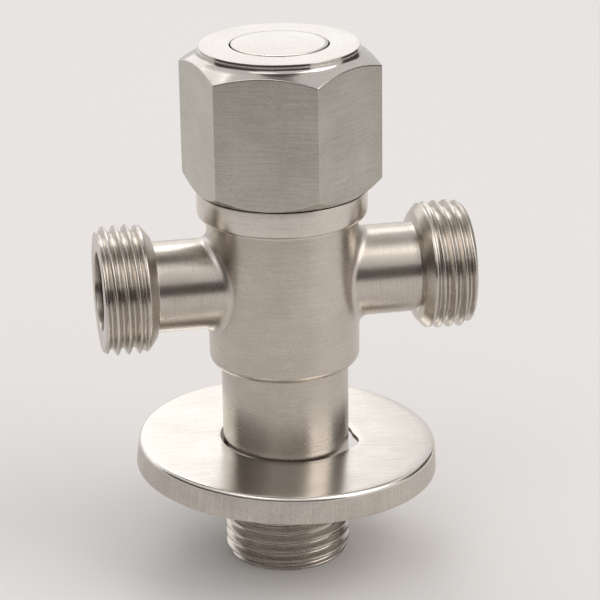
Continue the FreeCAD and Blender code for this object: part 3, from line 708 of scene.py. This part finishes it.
# Sheared, not brushed, and rough. Its dark colour is painted shade: the hole's edge is a thin dark line
# round the neck.
hole_edge_painted_shade = steel(
    "sheet hole edge with painted shade",
    "#6E665E",
    "#8A8279",
    roughness=0.42,
    anisotropic=0.0,
    line=0.3,
    relief=0.004,
)
SHEET, SKIRT, HOLE_EDGE_SHADE = range(3)
flange_turn = np.radians(np.linspace(0, 360, 289))
tooth = np.mod(np.degrees(flange_turn) - TONGUE_START, 120)
opening = np.clip((tooth - NOTCH_START) / (NOTCH_DEEPEST - NOTCH_START), 0, 1)
closing = np.clip((NOTCH_END - tooth) / (NOTCH_END - NOTCH_DEEPEST), 0, 1)
deep = np.cos(flange_turn - np.radians(NOTCH_DEEPEST + TONGUE_START)) > 0.5
notch = smooth(opening) * smooth(closing) * np.where(deep, 1.0, NOTCH_SHALLOW)
hole = FLANGE_HOLE + (NOTCH_RADIUS - FLANGE_HOLE) * notch
top_path = rounded(
    [
        (FLANGE_PLATE, FLANGE_HEIGHT, 0),
        (FLANGE_TOP_RADIUS, FLANGE_HEIGHT, 0.75),
        (FLANGE_FOOT_RADIUS, 0, 0.15),
        (FLANGE_FOOT_RADIUS - FLANGE_SHEET, 0, 0.15),
        (FLANGE_TOP_RADIUS - FLANGE_SHEET, FLANGE_HEIGHT - FLANGE_SHEET, 0.4),
        (FLANGE_PLATE, FLANGE_HEIGHT - FLANGE_SHEET, 0),
    ],
    8,
)
# The finish changes from the top's to the skirt's where the rim has turned down by this much.
RIM_DROP = 0.6
rim_count = int(np.argmax(top_path[:, 1] < FLANGE_HEIGHT - RIM_DROP)) + 1
top_part, skirt_part = subdivided(top_path[:rim_count], 1.5), subdivided(top_path[rim_count - 1 :], 1.5)
lip_share = np.array([[0.0], [0.35], [0.7], [1.0]])
lip_bend = np.linspace(0, math.pi / 2, 5)[:, None]
lip_foot = hole + FLANGE_LIP
lip_radius = np.concatenate(
    [
        FLANGE_PLATE + (lip_foot - FLANGE_PLATE) * lip_share,
        (lip_foot - FLANGE_LIP * np.sin(lip_bend))[1:],
        (hole + FLANGE_LIP * (1 - np.cos(lip_bend)))[1:],
        (lip_foot + (FLANGE_PLATE - lip_foot) * lip_share)[1:],
    ]
)
lip_height = np.concatenate(
    [
        FLANGE_HEIGHT + 0 * lip_share,
        (FLANGE_HEIGHT - FLANGE_LIP * (1 - np.cos(lip_bend)))[1:],
        (FLANGE_HEIGHT - FLANGE_SHEET + FLANGE_LIP * (1 - np.sin(lip_bend)))[1:],
        (FLANGE_HEIGHT - FLANGE_SHEET + 0 * lip_share)[1:],
    ]
)
flange_patches = [
    (
        lean(round_z(part, flange_turn)),
        brush_map(part[:, :1] * flange_turn, lengths(part)[:, None], flange_turn * FLANGE_FOOT_RADIUS),
        number,
    )
    for part, number in ((top_part, SHEET), (skirt_part, SKIRT))
]
lip_across = [lip_radius * np.cos(flange_turn), lip_radius * np.sin(flange_turn)]
lip = np.stack([*lip_across, lip_height + 0 * lip_radius], -1)
lip_map = brush_map(lip, lip_radius, flange_turn * FLANGE_HOLE)
# The lip's bend round the hole's edge takes the painted shade; the sheet on either side keeps the top's
# finish.
for rows, number in ((slice(0, 8), SHEET), (slice(7, 9), HOLE_EDGE_SHADE), (slice(8, None), SHEET)):
    flange_patches.append((lean(lip[rows]), lip_map[rows], number))

# Tongue: its root is buried in the sheet, and its blade runs down and in to the tip.
tongue_root = FLANGE_HOLE + 0.9
tongue_low = FLANGE_HEIGHT - FLANGE_SHEET - TONGUE_DROP
tongue_path = rounded(
    [
        (tongue_root, FLANGE_HEIGHT - 0.4, 0),
        (tongue_root, FLANGE_HEIGHT - 0.02, 0),
        (FLANGE_HOLE + 0.05, FLANGE_HEIGHT - 0.02, 0.4),
        (TONGUE_TIP, tongue_low, 0.15),
        (TONGUE_TIP + FLANGE_SHEET, tongue_low, 0.15),
        (tongue_root, FLANGE_HEIGHT - FLANGE_SHEET, 0),
        (tongue_root, FLANGE_HEIGHT - 0.4, 0),
    ]
)
tongue_middle = tongue_path.mean(0)
for number in range(3):
    sweep = np.radians(TONGUE_START + 120 * number + np.linspace(0, TONGUE_ANGLE, 13))
    blade = round_z(tongue_path, sweep)
    chart = brush_map(blade, lengths(tongue_path)[:, None], sweep * TONGUE_TIP)
    flange_patches.append((lean(blade), chart, SKIRT))
    for end in (0, -1):
        centre = np.broadcast_to(round_z(tongue_middle[None], sweep[[end]])[:, 0], blade[:, end].shape)
        cap = np.stack([centre, blade[:, end]], 1)
        flange_patches.append((lean(cap), cap[..., :2], SKIRT))
flange = make_piece("pressed_flange", flange_patches, [sheet_steel, skirt_steel, hole_edge_painted_shade])
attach(flange, "flange")
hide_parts("wall_flange")


# Handle: turned and milled from 28 mm hexagonal stainless bar. Its flats and lower cone are belt-brushed,
# the upper cone and the round boss on top are turned bright. It is pressed on the spline insert and held
# by a screw under the button.
HANDLE_FLATS = 28.12
HANDLE_ANGLE = -19.8
HANDLE_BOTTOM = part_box("handle_shell")[0].z / MM
HANDLE_FOOT = 14.0
LOWER_SLOPE = math.tan(math.radians(38))
UPPER_SLOPE = math.tan(math.radians(30))
UPPER_VERTEX = 84.28
BOSS_RADIUS = 12.8
BOSS_WALL_RADIUS = BOSS_RADIUS + 0.12
BOSS_FOOT_RADIUS = 13.8
BOSS_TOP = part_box("handle_shell")[1].z / MM
CAVITY_RADIUS = 12.2
CAVITY_TOP = 72.0
HUB_RADIUS = 6.5
HUB_TOP = 82.0
RECESS_RADIUS = 7.88
RECESS_BOTTOM = 83.2
SCREW_HOLE = 2.2
EDGE_RADIUS = 0.14
CORNER_RADIUS = 0.25


def crowded(steps):
    """Shares from 0 to 1 that crowd towards both ends by a cosine: (1 - cos pi t) / 2."""
    return 0.5 - 0.5 * np.cos(np.linspace(0, math.pi, steps + 1))


def hexagon(flats, corner, arc_steps=6, flat_steps=18):
    """Radius and angle round a hexagon with rounded corners: six arcs joined by straight flats, whose
    points crowd towards the arcs by a cosine."""
    reach = (flats / 2 - corner) / math.cos(math.pi / 6)
    outline = []
    for number in range(6):
        vertex = math.radians(HANDLE_ANGLE + 60 * number)
        bend = vertex + np.linspace(-math.pi / 6, math.pi / 6, arc_steps + 1)
        centre = reach * np.array([math.cos(vertex), math.sin(vertex)])
        outline.append(centre + corner * np.stack([np.cos(bend), np.sin(bend)], 1))
    points = []
    for here, after in zip(outline, outline[1:] + outline[:1]):
        points += [here, here[-1] + (after[0] - here[-1]) * crowded(flat_steps)[1:-1, None]]
    points = np.concatenate(points + [outline[0][:1]])
    return np.hypot(points[:, 0], points[:, 1]), np.unwrap(np.arctan2(points[:, 1], points[:, 0]))


def corner_curve(before, corner, after, reach, steps=6):
    """Parabola that rounds a corner, tangent to both sides at the given reach from it:
    (1 - t)^2 first + 2 t (1 - t) corner + t^2 last."""
    share = np.linspace(0, 1, steps + 1)[:, None, None]
    first = corner + (before - corner) * (reach / np.linalg.norm(before - corner, axis=-1))[..., None]
    last = corner + (after - corner) * (reach / np.linalg.norm(after - corner, axis=-1))[..., None]
    return (1 - share) ** 2 * first + 2 * share * (1 - share) * corner + share**2 * last


# Drawn over a belt: the eye sees straight fine lines across each flat, and an even greenish grey.
flat_steel = steel(
    "belt-brushed stainless flat",
    "#ABA9A0",
    "#BFBDB4",
    roughness=0.24,
    anisotropic=0.6,
    line=0.22,
    relief=0.002,
    grain=0.3,
    scratch=0.25,
)
# Turned with a sharp fine tool: nearly a mirror, with faint rings, so the eye sees hard light and dark.
bright_steel = steel(
    "bright turned stainless steel",
    "#C4BFB9",
    "#D3CFC9",
    roughness=0.15,
    anisotropic=0.3,
    line=0.3,
    relief=0.0004,
)
FLAT, BRIGHT = range(2)
reach, handle_turn = hexagon(HANDLE_FLATS, CORNER_RADIUS)
vertex_radius = HANDLE_FLATS / 2 / math.cos(math.pi / 6)
foot_length = reach - HANDLE_FOOT
foot_point = np.stack([HANDLE_FOOT + 0 * reach, HANDLE_BOTTOM + 0 * reach], -1)
low_point = np.stack([reach, HANDLE_BOTTOM + foot_length * LOWER_SLOPE], -1)
high_point = np.stack([reach, UPPER_VERTEX + (vertex_radius - reach) * UPPER_SLOPE], -1)
boss_foot = UPPER_VERTEX + (vertex_radius - BOSS_FOOT_RADIUS) * UPPER_SLOPE
boss_point = np.stack([BOSS_FOOT_RADIUS + 0 * reach, boss_foot + 0 * reach], -1)
small = np.minimum(EDGE_RADIUS, 0.45 * np.linalg.norm(low_point - foot_point, axis=-1))
low_curve = corner_curve(foot_point, low_point, high_point, small)
high_curve = corner_curve(low_point, high_point, boss_point, EDGE_RADIUS + 0 * reach)
rise = crowded(16)[:, None, None]
flat_rows = low_curve[-1] + (high_curve[0] - low_curve[-1]) * rise
lower_rows = foot_point + (low_curve[0] - foot_point) * np.linspace(0, 1, 5)[:, None, None]
upper_rows = high_curve[-1] + (boss_point - high_curve[-1]) * rise


def handle_grid(rows):
    """Rows of (radius, height) for every angle of the hexagon, as points: (r cos a, r sin a, z)."""
    radius, height = rows[..., 0], rows[..., 1]
    return np.stack([radius * np.cos(handle_turn), radius * np.sin(handle_turn), height], -1)


def handle_chart(rows, flat):
    """Brush map of the handle: round the bar, and up its flats or in along its cones."""
    return np.stack([handle_turn * vertex_radius + 0 * rows[..., 0], rows[..., 1 if flat else 0]], -1)


# Boss, from its foot on the cone: a fillet, a wall with a narrow turned groove, the top, the button's
# recess, the screw's hole, and the hub and skirt that close over the cartridge's gland.
boss_path = rounded(
    [
        (BOSS_FOOT_RADIUS, boss_foot, 0),
        (BOSS_WALL_RADIUS, boss_foot + (BOSS_FOOT_RADIUS - BOSS_WALL_RADIUS) * UPPER_SLOPE, 0.85),
        (BOSS_RADIUS + 0.02, BOSS_TOP - 0.6, 0.05),
        (BOSS_RADIUS - 0.1, BOSS_TOP - 0.55, 0.03),
        (BOSS_RADIUS - 0.1, BOSS_TOP - 0.45, 0.03),
        (BOSS_RADIUS - 0.01, BOSS_TOP - 0.4, 0.04),
        (BOSS_RADIUS - 0.07, BOSS_TOP - 0.06, 0.05),
        (BOSS_RADIUS - 0.14, BOSS_TOP, 0.04),
        (RECESS_RADIUS + 0.08, BOSS_TOP, 0.04),
        (RECESS_RADIUS, BOSS_TOP - 0.1, 0.05),
        (RECESS_RADIUS, RECESS_BOTTOM, 0),
        (SCREW_HOLE, RECESS_BOTTOM, 0),
        (SCREW_HOLE, HUB_TOP, 0),
        (HUB_RADIUS, HUB_TOP, 0),
        (HUB_RADIUS, CAVITY_TOP, 0.3),
        (CAVITY_RADIUS, CAVITY_TOP, 0.4),
        (CAVITY_RADIUS, HANDLE_BOTTOM, 0.25),
        (HANDLE_FOOT, HANDLE_BOTTOM, 0),
    ]
)
boss_path = subdivided(boss_path, 1.2)
handle_patches = [
    (handle_grid(rows), handle_chart(rows, number == FLAT), number)
    for rows, number in (
        (lower_rows, FLAT),
        (low_curve, FLAT),
        (flat_rows, FLAT),
        (high_curve, BRIGHT),
        (upper_rows, BRIGHT),
    )
]
boss_map = brush_map(boss_path[:, :1] * handle_turn, handle_turn * BOSS_RADIUS, lengths(boss_path)[:, None])
handle_patches.append((round_z(boss_path, handle_turn), boss_map, BRIGHT))
handle = make_piece("hexagonal_handle", handle_patches, [flat_steel, bright_steel])
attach(handle, "handle")
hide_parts("handle_shell")


# Button: a plain round cap turned from stainless steel, faintly domed. It snaps into the boss's recess
# on a rubber ring in its groove, and hides the handle's screw.
BUTTON_RADIUS = 7.68
BUTTON_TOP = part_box("handle_button")[1].z / MM
BUTTON_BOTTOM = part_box("handle_button")[0].z / MM
BUTTON_RIM = 0.14
BUTTON_CROWN = 0.1
BUTTON_DOME = 0.25
BUTTON_WALL = 1.1
BUTTON_FOOT = 1.6
BUTTON_GROOVE_RADIUS = 7.1
BUTTON_GROOVE_TOP = 85.6
BUTTON_GROOVE_BOTTOM = 84.6
button_turn = np.linspace(0, 2 * math.pi, 193)
dome_radius = np.linspace(0, BUTTON_RADIUS - BUTTON_RIM, 14)
dome_height = BUTTON_TOP + BUTTON_CROWN - BUTTON_DOME * (dome_radius / BUTTON_RADIUS) ** 2
skirt_path = rounded(
    [
        (BUTTON_RADIUS - BUTTON_RIM, dome_height[-1], 0),
        (BUTTON_RADIUS, dome_height[-1] - 0.04, 0.08),
        (BUTTON_RADIUS, BUTTON_GROOVE_TOP, 0),
        (BUTTON_GROOVE_RADIUS, BUTTON_GROOVE_TOP, 0),
        (BUTTON_GROOVE_RADIUS, BUTTON_GROOVE_BOTTOM, 0),
        (BUTTON_RADIUS, BUTTON_GROOVE_BOTTOM, 0),
        (BUTTON_RADIUS, BUTTON_BOTTOM, 0.2),
        (BUTTON_RADIUS - BUTTON_FOOT, BUTTON_BOTTOM, 0.2),
        (BUTTON_RADIUS - BUTTON_FOOT, BUTTON_TOP - BUTTON_WALL, 0.3),
        (0, BUTTON_TOP - BUTTON_WALL, 0),
    ]
)
dome_path = np.stack([dome_radius, dome_height], 1)
button_path = np.concatenate([dome_path, subdivided(skirt_path, 1.0)[1:]])
button_grid = round_z(button_path, button_turn)
button_map = brush_map(button_grid, button_turn * BUTTON_RADIUS, lengths(button_path)[:, None])
button = make_piece("cap_button", [(button_grid, button_map, 0)], [bright_steel])
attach(button, "handle")
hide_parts("handle_button")


# The quarter-turn cartridge and the handle's fixings: brass, ceramic, rubber, acetal and spring steel,
# all hidden but for the cage seen down the outlets. Their shapes are the frame's own; each gets the
# finish of its real material.
def grained(name, dark, light, roughness, metallic, grain, relief):
    """Moulded, lapped or machined stuff: a fine grain of the given size in millimetres, in its colour,
    its polish and its relief."""
    material, tree, surface = new_material(name)
    where = add_node(tree, "TexCoord")
    size = (1 / (grain * MM),) * 3
    spot = add_node(tree, "Mapping", {"Vector": where.outputs["Object"], "Scale": size})
    speck = add_node(tree, "TexNoise", {"Vector": spot.outputs["Vector"], "Scale": 1.0, "Detail": 5.0})
    tones = {"Factor": speck.outputs["Fac"], "A": srgb(dark), "B": srgb(light)}
    colour = add_node(tree, "Mix", tones, data_type="RGBA")
    polish = {"Value": speck.outputs["Fac"], "To Min": roughness * 1.2, "To Max": roughness * 0.8}
    rough = add_node(tree, "MapRange", polish)
    bump = add_node(tree, "Bump", {"Height": speck.outputs["Fac"], "Distance": relief * MM})
    tree.links.new(colour.outputs["Result"], surface.inputs["Base Color"])
    tree.links.new(rough.outputs["Result"], surface.inputs["Roughness"])
    tree.links.new(bump.outputs["Normal"], surface.inputs["Normal"])
    surface.inputs["Metallic"].default_value = metallic
    return material


finishes = {
    # Cut on a lathe and left bare: warm yellow, with a fine machined sparkle.
    "brass": grained("machined brass", "#B08D4E", "#D8BC7E", 0.28, 1.0, 0.5, 0.01),
    # Bright zinc over spring steel: a cool, even, slightly blue grey.
    "spring_steel": grained("zinc plated spring steel", "#9FA1A3", "#C6C8C9", 0.3, 1.0, 0.4, 0.008),
    # Moulded and cured: near black, with a soft sheen and no clear reflection.
    "black_rubber": grained("black nitrile rubber", "#141414", "#242321", 0.55, 0.0, 0.3, 0.01),
    # Injection moulded: milky white and waxy.
    "white_plastic": grained("white acetal plastic", "#DAD8D0", "#ECEAE4", 0.45, 0.0, 0.6, 0.008),
    # Fired and lapped flat: ivory white, smooth and hard.
    "white_ceramic": grained("lapped alumina ceramic", "#E4E0D6", "#F4F1EA", 0.18, 0.0, 0.25, 0.002),
}
for row in frame["record"]["subparts"]:
    if row["material_slot"] in finishes:
        mesh = frame["nodes"][row["node"]].data
        mesh.materials.clear()
        mesh.materials.append(finishes[row["material_slot"]])
